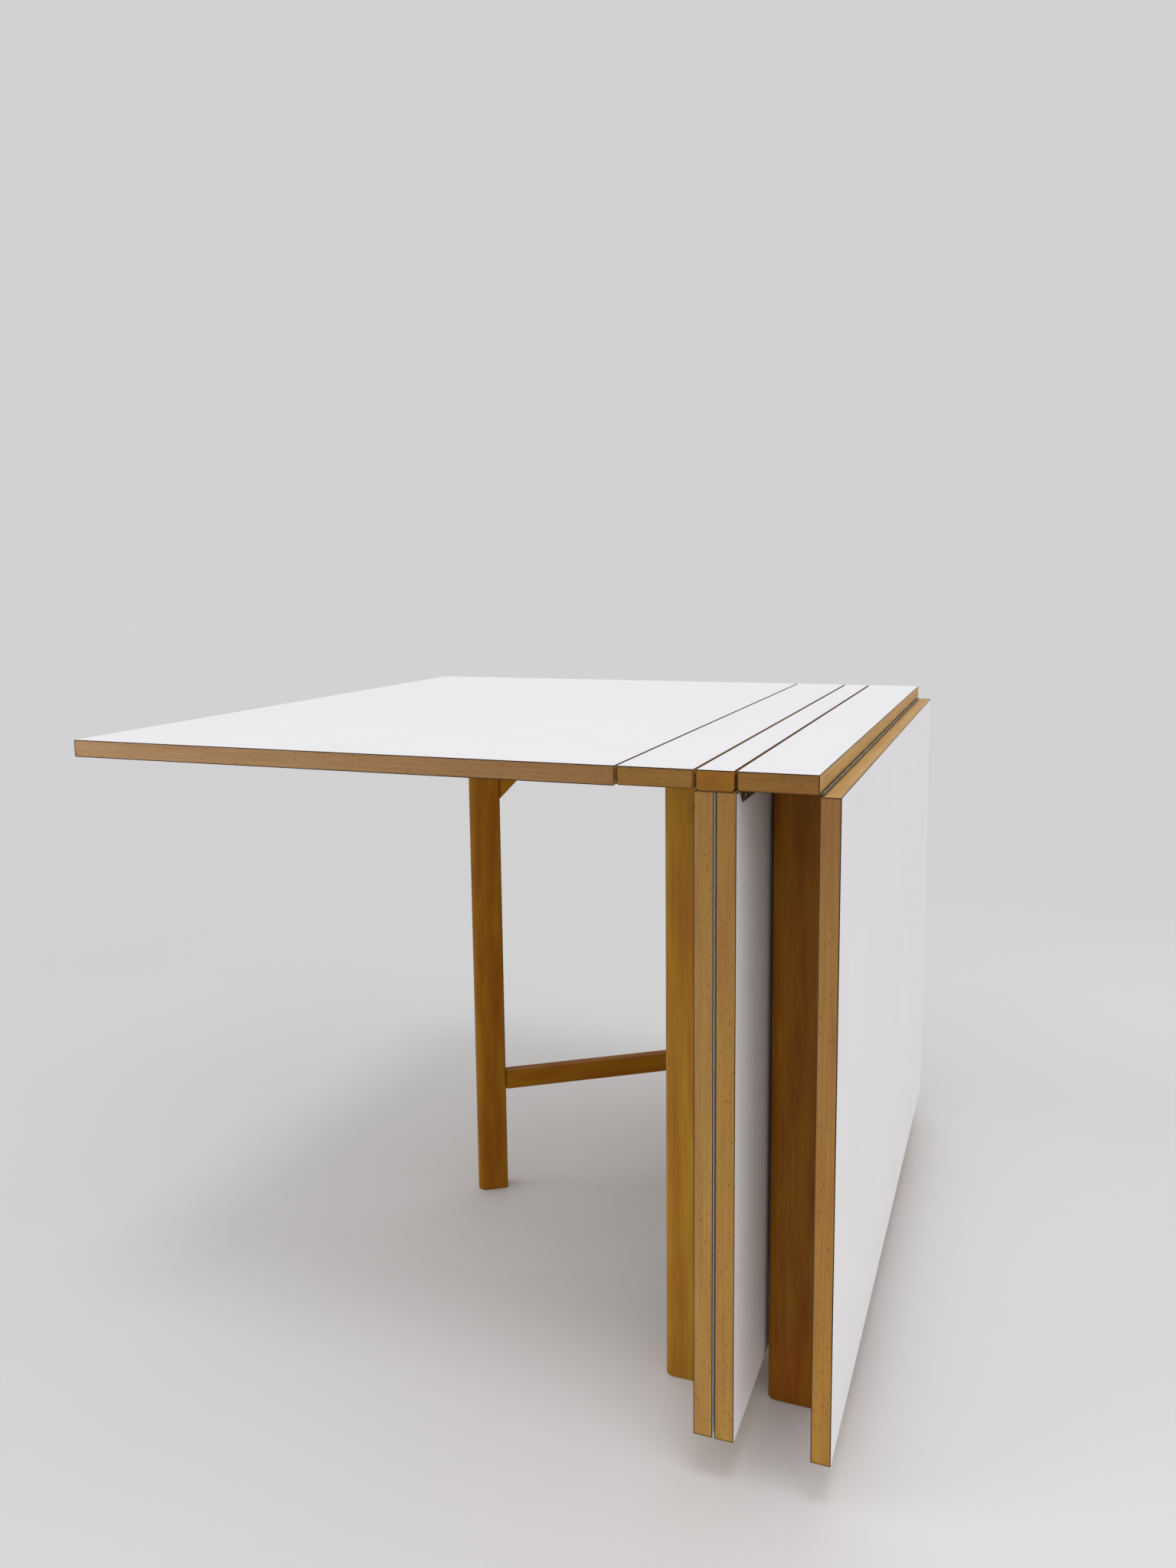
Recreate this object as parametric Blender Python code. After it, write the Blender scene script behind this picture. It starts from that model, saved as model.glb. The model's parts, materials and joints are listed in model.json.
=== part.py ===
"""Folding dining table: two trestle strips, four leaves on continuous hinges and four swinging gate legs.

Metres, +Z up. X runs along the table, Y across it, and the front of the table is at -Y.
The left outer leaf is up on its open gate leg; the other three leaves hang.
"""

import math

import bmesh
import bpy

# Driving dimensions of the panels
PANEL_LENGTH = 0.900        # every panel, across the table
PANEL_THICKNESS = 0.0194
STRIP_WIDTH = 0.075         # the fixed top of each trestle
LEAF_WIDTH = 0.650          # each hinged leaf
LEAF_FLOOR_CLEARANCE = 0.0470   # under a hanging leaf
LEAF_FACE_GAP = 0.0020      # between the two inner leaves that hang back to back
LAMINATE = 0.0008
LAMINATE_BEVEL = 0.0004     # on the upper edges of a top sheet
GLUE_LINE = 0.0002
LIPPING = 0.008
SEAT_GAP = 0.0003           # between pieces that touch

# Driving dimensions of the continuous hinges
HINGE_SIDE_GAP = 0.0012     # from the axis to the panel's edge, sideways
HINGE_RISE = 0.0009         # from the panel's underside up to the axis
KNUCKLE_RADIUS = 0.0016
KNUCKLE_BORE = 0.0010
HINGE_PIN_RADIUS = 0.0007
KNUCKLE_COUNT = 11
STRIP_PLATE_WIDTH = 0.010   # from the axis
LEAF_PLATE_WIDTH = 0.014    # from the axis
HINGE_END_GAP = 0.003       # from the end lipping to the hinge
HINGE_END_SLANT = 1.0       # how far a plate's end runs back for its width

# Driving dimensions of the loose centre strip
CENTRE_STRIP_GAP = 0.0030   # to the trestle strip on each side
CENTRE_STRIP_EDGE = 0.0035  # radius of its lower edges
CENTRE_STRIP_CREST = 0.000375   # radius of its upper edges, under the laminate
CENTRE_STRIP_SEAT = 0.0004  # above the edges of the leaves it lies on

# Driving dimensions of the trestles
LEG_INSET = 0.0035          # from the strip's edge to the leg's side
LEG_DEPTH = 0.036
LEG_SETBACK = 0.136         # from the panel's end to the leg
LEG_EDGE = 0.009
RAIL_THICKNESS = 0.012
TOP_RAIL_HEIGHT = 0.060
LOW_RAIL_HEIGHT = 0.050
LOW_RAIL_BOTTOM = 0.100
PIVOT_BLOCK_HEIGHT = 0.025
PIVOT_BLOCK_STEP = 0.001    # the blocks stop this far short of the rail's bottom and end
ARRIS = 0.0015              # softened edge of the wooden pieces
STRETCHER_ARRIS = 0.003     # softer, as it is in reach of feet

# Driving dimensions of the gates
GATE_SIDE_CLEARANCE = 0.0035    # from a folded gate to the rail beside it
GATE_FLUSH = 0.0005         # a folded gate stays this far inside the leg's side
GATE_END_CLEARANCE = 0.062  # from a folded gate to the far leg
GATE_OPEN = math.radians(55.7)
POST_CLEARANCE = 0.004      # from the pivot post to the leg behind it
GATE_LEG_WIDTH = 0.042
GATE_LEG_NOSE = 0.011       # radius of the outer edges
GATE_LEG_HEEL = 0.003       # radius of the inner edges
GATE_RAIL_THICKNESS = 0.020
GATE_RAIL_HEIGHT = 0.0595
GATE_HAUNCH = 0.053         # the slope that braces the rail to the leg
STRETCHER_THICKNESS = 0.019
STRETCHER_HEIGHT = 0.0275
STRETCHER_BOTTOM = 0.151
POST_CORNER = 0.006         # radius of the pivot post's edges
DOWEL_RADIUS = 0.004
DOWEL_LENGTH = 0.010

# Mesh fineness
ARC_STEPS = 4               # in a quarter turn
ARRIS_STEPS = 2             # across a softened edge
KNUCKLE_SIDES = 8
DOWEL_SIDES = 12
TOOL_MARGIN = 0.001         # how far a cutting shape stands past the face it cuts
SMOOTH_BELOW = math.radians(35)     # flatter edges are shaded smooth
ARRIS_ABOVE = math.radians(40)      # sharper edges are softened

# Sizes that follow
HANG_GAP = HINGE_SIDE_GAP - HINGE_RISE
HEIGHT = LEAF_FLOOR_CLEARANCE + LEAF_WIDTH + HANG_GAP + PANEL_THICKNESS
UNDERSIDE = HEIGHT - PANEL_THICKNESS
HINGE_HEIGHT = UNDERSIDE + HINGE_RISE
SKIN = LAMINATE + GLUE_LINE
MIDDLE_GAP = 2 * (PANEL_THICKNESS + HANG_GAP) + LEAF_FACE_GAP
HINGE_LENGTH = PANEL_LENGTH - 2 * (LIPPING + HINGE_END_GAP)
HINGE_OFFSET = STRIP_WIDTH / 2 + HINGE_SIDE_GAP
COMB_EDGE = KNUCKLE_RADIUS + SEAT_GAP + GLUE_LINE
LEG_WIDTH = STRIP_WIDTH - 2 * LEG_INSET
LEG_INNER_FACE = PANEL_LENGTH / 2 - LEG_SETBACK - LEG_DEPTH
LEG_TOP = UNDERSIDE - SEAT_GAP
GATE_THICKNESS = LEG_WIDTH / 2 - GATE_FLUSH - RAIL_THICKNESS / 2 - GATE_SIDE_CLEARANCE
GATE_OFFSET = LEG_WIDTH / 2 - GATE_FLUSH - GATE_THICKNESS / 2
PIVOT_DISTANCE = GATE_THICKNESS / 2 + POST_CLEARANCE
PIVOT_Y = LEG_INNER_FACE - PIVOT_DISTANCE
GATE_REACH = PIVOT_Y + LEG_INNER_FACE - GATE_END_CLEARANCE
GATE_TOP = HINGE_HEIGHT - KNUCKLE_RADIUS - SEAT_GAP
POST_BOTTOM = LOW_RAIL_BOTTOM + PIVOT_BLOCK_HEIGHT + SEAT_GAP

# The middle of the table stands off the middle of its box, because only one outer leaf is up
MIDDLE_X = (LEAF_WIDTH + 2 * HINGE_SIDE_GAP - HANG_GAP - PANEL_THICKNESS) / 2
UNIT_OFFSET = (MIDDLE_GAP + STRIP_WIDTH) / 2

LEVEL = 0.0
HANGING = math.radians(90)


def linear(hex_colour):
    """Turns an sRGB hex colour into the linear values that a material takes."""
    channels = [int(hex_colour[i:i + 2], 16) / 255 for i in (0, 2, 4)]
    return [c / 12.92 if c <= 0.04045 else ((c + 0.055) / 1.055) ** 2.4 for c in channels] + [1.0]


def make_material(name, hex_colour, roughness, metallic=0.0):
    material = bpy.data.materials.new(name)
    material.use_nodes = True
    shader = material.node_tree.nodes["Principled BSDF"]
    shader.inputs["Base Color"].default_value = linear(hex_colour)
    shader.inputs["Roughness"].default_value = roughness
    shader.inputs["Metallic"].default_value = metallic
    material.diffuse_color = linear(hex_colour)
    return material


def make_empty(name, parent=None, location=(0, 0, 0), tilt=0.0, turn=0.0):
    """An empty that carries pieces; its origin lies on the axis they move about."""
    empty = bpy.data.objects.new(name, None)
    empty.parent = parent
    empty.location = location
    empty.rotation_euler = (0, tilt, turn)
    bpy.context.collection.objects.link(empty)
    return empty


def rectangle(u0, v0, u1, v1):
    return [(u0, v0), (u1, v0), (u1, v1), (u0, v1)]


def rounded_rectangle(u0, v0, u1, v1, low_radius, high_radius):
    """A rectangle whose corners at v0 have one radius and those at v1 another."""
    points = []
    corners = ((u0, v0, 180, low_radius), (u1, v0, 270, low_radius),
               (u1, v1, 0, high_radius), (u0, v1, 90, high_radius))
    for u, v, start, radius in corners:
        centre_u = u + (radius if u == u0 else -radius)
        centre_v = v + (radius if v == v0 else -radius)
        for step in range(ARC_STEPS + 1):
            angle = math.radians(start + 90 * step / ARC_STEPS)
            points.append((centre_u + radius * math.cos(angle), centre_v + radius * math.sin(angle)))
    return points


def circle(u, v, radius, sides):
    turns = [2 * math.pi * (i + 0.5) / sides for i in range(sides)]
    return [(u + radius * math.cos(a), v + radius * math.sin(a)) for a in turns]


PLACE = {"x": lambda u, v, along: (along, u, v),
         "y": lambda u, v, along: (u, along, v),
         "z": lambda u, v, along: (u, v, along)}


def add_prism(bm, outline, axis, start, stop, hole=None):
    """Extrudes an outline along an axis; a hole is an outline with as many points."""
    rings = []
    for points in [outline] + ([hole] if hole else []):
        for along in (start, stop):
            rings.append([bm.verts.new(PLACE[axis](u, v, along)) for u, v in points])
    count = len(outline)
    for low, high in zip(rings[0::2], rings[1::2]):
        for i in range(count):
            bm.faces.new((low[i], low[(i + 1) % count], high[(i + 1) % count], high[i]))
    if not hole:
        bm.faces.new(rings[0])
        bm.faces.new(rings[1])
        return
    for outer, inner in zip(rings[:2], rings[2:]):
        for i in range(count):
            bm.faces.new((outer[i], outer[(i + 1) % count], inner[(i + 1) % count], inner[i]))


def add_box(bm, low, high):
    add_prism(bm, rectangle(low[0], low[1], high[0], high[1]), "z", low[2], high[2])


def make_object(name, bm, parent):
    bmesh.ops.recalc_face_normals(bm, faces=bm.faces)
    mesh = bpy.data.meshes.new(name)
    bm.to_mesh(mesh)
    bm.free()
    obj = bpy.data.objects.new(name, mesh)
    obj.parent = parent
    bpy.context.collection.objects.link(obj)
    return obj


def make_piece(name, bm, parent, material, arris=0.0):
    """One sub-part as an object; arris softens its sharp edges."""
    obj = make_object(name, bm, parent)
    obj.data.materials.append(material)
    obj.data.shade_smooth()
    obj.data.set_sharp_from_angle(angle=SMOOTH_BELOW)
    if arris:
        bevel = obj.modifiers.new("arris", "BEVEL")
        bevel.width = arris
        bevel.segments = ARRIS_STEPS
        bevel.limit_method = "ANGLE"
        bevel.angle_limit = ARRIS_ABOVE
    return obj


def make_tool(name, bm, parent):
    """A guide shape that cuts or joins and isn't a sub-part itself."""
    tool = make_object(name, bm, parent)
    tool.hide_render = True
    tool.display_type = "WIRE"
    return tool


def combine(obj, tool, operation):
    boolean = obj.modifiers.new(operation.lower(), "BOOLEAN")
    boolean.operation = operation
    boolean.solver = "EXACT"
    boolean.object = tool


def relief_radius():
    """Radius of a hinged panel's lower edge that leaves room for the knuckle beside it."""
    slack = COMB_EDGE - HANG_GAP
    return slack + math.sqrt(slack ** 2 + COMB_EDGE ** 2 - HINGE_SIDE_GAP ** 2 - HINGE_RISE ** 2)


def relief_sweep():
    """Angle through which that rounding turns before it meets the laminate."""
    return math.asin(1 - SKIN / relief_radius())


def plate_end(distance):
    """Where a hinge plate's slanted end lies along the hinge, at a distance from the axis."""
    return HINGE_LENGTH / 2 - HINGE_END_SLANT * (distance - COMB_EDGE)


def add_relief(bm, edge, inward, underside):
    """Adds the shape that rounds a hinged panel's lower edge from end to end."""
    radius = relief_radius()
    bottom = underside + SKIN
    outside = edge - inward * TOOL_MARGIN
    sweep = relief_sweep()
    outline = [(outside, bottom - TOOL_MARGIN), (outside, underside + radius)]
    for step in range(ARC_STEPS + 1):
        angle = sweep * step / ARC_STEPS
        outline.append((edge + inward * radius * (1 - math.cos(angle)),
                        underside + radius * (1 - math.sin(angle))))
    outline.append((outline[-1][0], bottom - TOOL_MARGIN))
    reach = PANEL_LENGTH / 2 + TOOL_MARGIN
    add_prism(bm, outline, "y", -reach, reach)


def make_lipping(name, parent, x0, x1, underside, width, hinged_edges):
    """The solid wood frame round a panel's core; width is that of its long sides."""
    end = PANEL_LENGTH / 2
    bottom = underside + SKIN
    top = underside + PANEL_THICKNESS - SKIN
    frame = bmesh.new()
    outline = rectangle(x0, -end, x1, end)
    opening = rectangle(x0 + width, LIPPING - end, x1 - width, end - LIPPING)
    add_prism(frame, outline, "z", bottom, top, opening)
    obj = make_piece(name + "_lipping", frame, parent, BEECH_EDGE)
    relief = bmesh.new()
    for edge, inward in hinged_edges:
        add_relief(relief, edge, inward, underside)
    combine(obj, make_tool(name + ".relief", relief, parent), "DIFFERENCE")


def make_core(name, parent, x0, x1, bottom, top):
    """The board inside a panel, between two X edges."""
    end = PANEL_LENGTH / 2 - LIPPING - GLUE_LINE
    board = bmesh.new()
    add_box(board, (x0, -end, bottom), (x1, end, top))
    return make_piece(name + "_core", board, parent, CORE_BOARD)


def make_top_sheet(name, parent, x0, x1, top):
    """A laminate sheet over a whole panel, with its upper edges bevelled."""
    end = PANEL_LENGTH / 2
    sheet = bmesh.new()
    rings = []
    for inset, height in ((0, top - LAMINATE), (0, top - LAMINATE_BEVEL), (LAMINATE_BEVEL, top)):
        outline = rectangle(x0 + inset, inset - end, x1 - inset, end - inset)
        rings.append([sheet.verts.new((x, y, height)) for x, y in outline])
    for low, high in zip(rings, rings[1:]):
        for i in range(len(low)):
            after = (i + 1) % len(low)
            sheet.faces.new((low[i], low[after], high[after], high[i]))
    sheet.faces.new(rings[0])
    sheet.faces.new(rings[-1])
    make_piece(name, sheet, parent, WHITE_LAMINATE)


def make_leaf(name, parent):
    """A leaf along +X of its empty, whose Y axis is the hinge: core, lipping and two laminates."""
    x0 = HINGE_SIDE_GAP
    x1 = x0 + LEAF_WIDTH
    underside = -HINGE_RISE
    top = underside + PANEL_THICKNESS
    inset = LIPPING + GLUE_LINE
    bottom = underside + SKIN
    make_core(name, parent, x0 + inset, x1 - inset, bottom, top - SKIN)
    make_lipping(name, parent, x0, x1, underside, LIPPING, ((x0, 1),))
    make_top_sheet(name + "_top_laminate", parent, x0, x1, top)

    end = PANEL_LENGTH / 2
    inner = LEAF_PLATE_WIDTH + SEAT_GAP
    edge = x0 + relief_radius() * (1 - math.cos(relief_sweep()))
    around = SEAT_GAP * math.hypot(1, HINGE_END_SLANT)
    mouth = plate_end(edge) + around
    floor = plate_end(inner) + around
    outline = [(x1, -end), (x1, end), (edge, end), (edge, mouth)]
    outline += [(inner, floor), (inner, -floor), (edge, -mouth), (edge, -end)]
    skin = bmesh.new()
    add_prism(skin, outline, "z", underside, underside + LAMINATE)
    make_piece(name + "_under_laminate", skin, parent, WHITE_LAMINATE)


def make_strip(name, parent):
    """The fixed top of a trestle, with its hinge plates let in under the lipping. Returns the core."""
    half = STRIP_WIDTH / 2
    width = STRIP_PLATE_WIDTH - HINGE_SIDE_GAP + SEAT_GAP
    inner = half - width - GLUE_LINE
    make_lipping(name, parent, -half, half, UNDERSIDE, width, ((-half, 1), (half, -1)))
    make_top_sheet(name + "_laminate", parent, -half, half, HEIGHT)
    return make_core(name, parent, -inner, inner, UNDERSIDE, HEIGHT - SKIN)


def make_hinge_plate(name, parent, side, width, first):
    """One half of a continuous hinge: side is its X direction, first its first knuckle."""
    pitch = HINGE_LENGTH / KNUCKLE_COUNT
    tab_edge = (KNUCKLE_RADIUS + KNUCKLE_BORE) / 2
    outline = [(side * width, -plate_end(width))]
    knuckles = bmesh.new()
    for index in range(KNUCKLE_COUNT):
        start = pitch * index - HINGE_LENGTH / 2 + SEAT_GAP / 2
        stop = start + pitch - SEAT_GAP
        if index % 2 != first:
            low, high = start - SEAT_GAP / 2, stop + SEAT_GAP / 2
            outline += [(side * COMB_EDGE, low), (side * COMB_EDGE, high)]
            continue
        outline += [(side * tab_edge, start), (side * tab_edge, stop)]
        wall = circle(0, 0, KNUCKLE_RADIUS, KNUCKLE_SIDES)
        bore = circle(0, 0, KNUCKLE_BORE, KNUCKLE_SIDES)
        add_prism(knuckles, wall, "y", start, stop, bore)
    outline.append((side * width, plate_end(width)))
    plate = bmesh.new()
    add_prism(plate, outline, "z", -HINGE_RISE, LAMINATE - HINGE_RISE)
    obj = make_piece(name, plate, parent, HINGE_STEEL)
    combine(obj, make_tool(name + ".knuckles", knuckles, parent), "UNION")


def make_hinge(name, axis, leaf):
    make_hinge_plate(name + "_strip_plate", axis, -1, STRIP_PLATE_WIDTH, 0)
    make_hinge_plate(name + "_leaf_plate", leaf, 1, LEAF_PLATE_WIDTH, 1)
    pin = bmesh.new()
    section = circle(0, 0, HINGE_PIN_RADIUS, KNUCKLE_SIDES)
    add_prism(pin, section, "y", -HINGE_LENGTH / 2, HINGE_LENGTH / 2)
    make_piece(name + "_pin", pin, axis, HINGE_STEEL)


def make_gate(name, gate):
    """A swinging gate along +Y of its empty, whose Z axis is the pivot."""
    half = GATE_THICKNESS / 2
    heel = GATE_REACH - GATE_LEG_WIDTH

    leg = bmesh.new()
    nose = min(GATE_LEG_NOSE, half)
    section = rounded_rectangle(-half, heel, half, GATE_REACH, GATE_LEG_HEEL, nose)
    add_prism(leg, section, "z", 0, GATE_TOP)
    make_piece(name + "_leg", leg, gate, BEECH_LEG, ARRIS)

    post = bmesh.new()
    section = rounded_rectangle(-half, -half, half, half, POST_CORNER, POST_CORNER)
    add_prism(post, section, "z", POST_BOTTOM, LEG_TOP)
    dowel = bmesh.new()
    round_end = circle(0, 0, DOWEL_RADIUS, DOWEL_SIDES)
    add_prism(dowel, round_end, "z", POST_BOTTOM - DOWEL_LENGTH, LEG_TOP + DOWEL_LENGTH)
    obj = make_piece(name + "_post", post, gate, BEECH_LEG)
    combine(obj, make_tool(name + ".dowel", dowel, gate), "UNION")

    near = half + SEAT_GAP
    far = heel - SEAT_GAP
    low = GATE_TOP - GATE_RAIL_HEIGHT
    rail = bmesh.new()
    outline = [(near, low), (far - GATE_HAUNCH, low), (far, low - GATE_HAUNCH)]
    outline += [(far, GATE_TOP), (near, GATE_TOP)]
    add_prism(rail, outline, "x", -GATE_RAIL_THICKNESS / 2, GATE_RAIL_THICKNESS / 2)
    make_piece(name + "_top_rail", rail, gate, BEECH_RAIL, ARRIS)

    stretcher = bmesh.new()
    add_box(stretcher, (-STRETCHER_THICKNESS / 2, near, STRETCHER_BOTTOM),
            (STRETCHER_THICKNESS / 2, far, STRETCHER_BOTTOM + STRETCHER_HEIGHT))
    make_piece(name + "_stretcher", stretcher, gate, BEECH_RAIL, STRETCHER_ARRIS)


def make_trestle(side, unit, front):
    """Two legs and two rails; front is the local Y of the front. Returns the low rail."""
    for place, direction in (("front", front), ("rear", -front)):
        ends = sorted((direction * LEG_INNER_FACE, direction * (LEG_INNER_FACE + LEG_DEPTH)))
        leg = bmesh.new()
        section = rounded_rectangle(-LEG_WIDTH / 2, ends[0], LEG_WIDTH / 2, ends[1], LEG_EDGE, LEG_EDGE)
        add_prism(leg, section, "z", 0, LEG_TOP)
        make_piece(f"{side}_{place}_leg", leg, unit, BEECH_LEG, ARRIS)

    end = LEG_INNER_FACE - SEAT_GAP
    half = RAIL_THICKNESS / 2
    rail = bmesh.new()
    add_box(rail, (-half, -end, LEG_TOP - TOP_RAIL_HEIGHT), (half, end, LEG_TOP))
    make_piece(side + "_top_rail", rail, unit, BEECH_RAIL, ARRIS)

    rail = bmesh.new()
    add_box(rail, (-half, -end, LOW_RAIL_BOTTOM), (half, end, LOW_RAIL_BOTTOM + LOW_RAIL_HEIGHT))
    low_rail = make_piece(side + "_low_rail", rail, unit, BEECH_RAIL)
    blocks = bmesh.new()
    outer = LEG_WIDTH / 2 - GATE_FLUSH
    near = end - PIVOT_BLOCK_STEP
    far = LEG_INNER_FACE - 2 * PIVOT_DISTANCE
    for sign in (1, -1):
        x = sorted((0, sign * outer))
        y = sorted((-sign * near, -sign * far))
        low = LOW_RAIL_BOTTOM + PIVOT_BLOCK_STEP
        high = LOW_RAIL_BOTTOM + PIVOT_BLOCK_HEIGHT
        add_box(blocks, (x[0], y[0], low), (x[1], y[1], high))
    combine(low_rail, make_tool(side + ".pivot_blocks", blocks, unit), "UNION")
    return low_rail


def make_half(side, turn, outer_leaf_tilt, outer_gate_swing):
    """A trestle with its strip, two leaves and two gates; the halves are a half turn apart."""
    facing = round(math.cos(turn))
    unit = make_empty(side + "_unit", None, (MIDDLE_X + facing * UNIT_OFFSET, 0, 0), turn=turn)
    low_rail = make_trestle(side, unit, -facing)
    core = make_strip(side + "_strip", unit)

    sockets = bmesh.new()
    places = (("outer", 1, outer_leaf_tilt, outer_gate_swing), ("inner", -1, HANGING, 0.0))
    for place, sign, tilt, swing in places:
        name = f"{side}_{place}"
        about = 0.0 if sign > 0 else math.pi
        line = (sign * HINGE_OFFSET, 0, HINGE_HEIGHT)
        axis = make_empty(name + "_hinge_axis", unit, line, turn=about)
        leaf = make_empty(name + "_leaf_swing", axis, tilt=tilt)
        make_leaf(name + "_leaf", leaf)
        make_hinge(name + "_hinge", axis, leaf)

        pivot = (sign * GATE_OFFSET, -sign * PIVOT_Y)
        gate = make_empty(name + "_gate_pivot", unit, (*pivot, 0), turn=about - swing)
        make_gate(name + "_gate", gate)
        socket = circle(*pivot, DOWEL_RADIUS + SEAT_GAP, DOWEL_SIDES)
        depth = DOWEL_LENGTH + SEAT_GAP
        add_prism(sockets, socket, "z", POST_BOTTOM - depth, LEG_TOP + depth)

    tool = make_tool(side + ".sockets", sockets, unit)
    for drilled in (low_rail, core):
        combine(drilled, tool, "DIFFERENCE")


def make_centre_strip():
    """The loose filler that lies on the edges of the two inner leaves, between the trestle strips."""
    carrier = make_empty("centre_strip_lift", None, (MIDDLE_X, 0, 0))
    half = MIDDLE_GAP / 2 - CENTRE_STRIP_GAP
    end = PANEL_LENGTH / 2
    bottom = UNDERSIDE - HANG_GAP + CENTRE_STRIP_SEAT
    body = bmesh.new()
    top = HEIGHT - SKIN
    section = rounded_rectangle(-half, bottom, half, top, CENTRE_STRIP_EDGE, CENTRE_STRIP_CREST)
    add_prism(body, section, "y", -end, end)
    make_piece("centre_strip_body", body, carrier, BEECH_EDGE)
    make_top_sheet("centre_strip_laminate", carrier, -half, half, HEIGHT)


for old in list(bpy.data.objects):
    bpy.data.objects.remove(old, do_unlink=True)

WHITE_LAMINATE = make_material("white_laminate", "e9e9ec", 0.35)
CORE_BOARD = make_material("core_board", "b89a6c", 0.8)
BEECH_EDGE = make_material("beech_lipping", "a8793f", 0.5)
BEECH_LEG = make_material("beech_leg", "8a5c22", 0.45)
BEECH_RAIL = make_material("beech_rail", "7a4f1c", 0.45)
HINGE_STEEL = make_material("hinge_steel", "8d8b86", 0.35, 1.0)

make_half("left", math.pi, LEVEL, GATE_OPEN)
make_half("right", 0.0, HANGING, 0.0)
make_centre_strip()
bpy.context.view_layer.update()
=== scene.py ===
# %% [markdown]
# # Dressing a folding dining table
# The CAD model already has every panel, leg, gate and hinge at its real size.
# This lesson keeps those shapes and gives each one the finish that the real table shows:
# white laminate sheets, honey-coloured beech lippings, browner lacquered legs and dull steel hinges.
# The hinge screws, too small to matter in CAD, are modelled here.

# %% Load the table and keep its box
import json
import math

import bmesh
import bpy
from mathutils import Matrix, Vector


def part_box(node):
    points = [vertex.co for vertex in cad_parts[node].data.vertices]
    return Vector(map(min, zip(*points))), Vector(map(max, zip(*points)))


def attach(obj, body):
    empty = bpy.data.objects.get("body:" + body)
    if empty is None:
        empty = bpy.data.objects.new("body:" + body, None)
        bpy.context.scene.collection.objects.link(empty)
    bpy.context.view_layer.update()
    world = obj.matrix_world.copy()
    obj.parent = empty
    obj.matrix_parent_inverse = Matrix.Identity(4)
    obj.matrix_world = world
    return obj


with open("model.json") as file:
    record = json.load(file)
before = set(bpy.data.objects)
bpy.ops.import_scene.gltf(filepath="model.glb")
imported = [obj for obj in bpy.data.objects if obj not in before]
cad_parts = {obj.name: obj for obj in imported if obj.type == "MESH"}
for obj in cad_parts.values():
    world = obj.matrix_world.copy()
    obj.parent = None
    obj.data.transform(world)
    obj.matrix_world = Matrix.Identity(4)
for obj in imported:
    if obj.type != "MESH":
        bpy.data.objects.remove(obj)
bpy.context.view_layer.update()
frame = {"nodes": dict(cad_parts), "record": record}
nodes = frame["nodes"]

# %% [markdown]
# ## Colours and lengths
# A colour picked on a screen is an sRGB hex value, but a shader works with linear light.
# One function turns the first into the second, so that colours can be written as they look.
# Blender counts in metres, so lengths are written in millimetres and multiplied by MM.

# %% Colours and lengths
MM = 0.001


def linear(hex_colour):
    """An sRGB hex colour as the linear red, green, blue and alpha that sockets take."""
    channels = [int(hex_colour[i:i + 2], 16) / 255 for i in (1, 3, 5)]
    return [c / 12.92 if c <= 0.04045 else ((c + 0.055) / 1.055) ** 2.4 for c in channels] + [1.0]


print("1 mm is", MM, "m; mid grey is", round(linear("#808080")[0], 3), "in linear light")

# %% [markdown]
# ## Nodes
# A shader tree could be drawn in the editor, but as text it is easier to repeat and to change.
# It reads best when each node is one call: its kind, its settings and what goes into its sockets.
# A socket takes a value or the output of another node. Where a node repeats the name of a socket, its
# sockets go by number. In Map Range, 0 is the value, 1 and 2 are the range it has and 3 and 4 the range
# it gets. Mix counts its hidden sockets too: 0 is the share, 4 and 5 are two vectors, 6 and 7 two colours.

# %% Nodes and materials


def add_node(tree, kind, inputs, output=0, **settings):
    """Adds a node, sets and links its sockets, and returns one of its outputs."""
    node = tree.nodes.new("ShaderNode" + kind)
    for name, value in settings.items():
        setattr(node, name, value)
    for socket, value in inputs.items():
        if isinstance(value, bpy.types.NodeSocket):
            tree.links.new(value, node.inputs[socket])
        else:
            node.inputs[socket].default_value = value
    return node.outputs[output]


def new_material(name):
    """An empty material with its surface output, and its node tree."""
    material = bpy.data.materials.new(name)
    material.use_nodes = True
    tree = material.node_tree
    tree.nodes.clear()
    tree.nodes.new("ShaderNodeOutputMaterial")
    return material, tree


def finish_surface(tree, inputs):
    """Ends a material's tree with one Principled shader."""
    shader = add_node(tree, "BsdfPrincipled", inputs)
    tree.links.new(shader, tree.nodes["Material Output"].inputs["Surface"])


print("three helpers are ready to build materials from nodes")

# %% [markdown]
# ## White laminate
# The sheets are high-pressure laminate: white paper soaked in melamine over layers of brown
# paper soaked in phenolic resin, pressed on a finely textured plate. The face is a cool satin
# white with a faint pebble, and the bevelled edge shows the dark brown core as a thin line round
# every panel. The sheet under a leaf only balances the upper one, so it has fewer layers and a paler edge.
# A painted line would be simpler, but the sheets and their bevels are solid in the CAD model,
# so the material only has to ask which way a face looks: along the sheet's thickness it is white.

# %% Laminate material
FACE_WHITE = "#f6f5f6"
RUBBED_WHITE = "#f2f1f2"
EDGE_BROWN = {"top": "#2e1c0a", "under": "#4a2f16"}
FACE_COSINE = 0.8           # a face that leans less than about 37 degrees from the thickness is white
SMUDGE = 120 * MM
PEBBLE = 2.5 * MM           # the real plate's grain is about 0.3 mm; drawn coarser so that it shows
PEBBLE_DEPTH = 0.1 * MM
FACE_ROUGHNESS, RUBBED_ROUGHNESS = 0.34, 0.46
DULL_FACE = 0.25            # half the usual level: years of wiping leave little shine
RESIN_IOR = 1.5             # clear resins and lacquers
NOISE_LOW, NOISE_HIGH = 0.3, 0.7        # nearly all values of a noise texture lie between these


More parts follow.
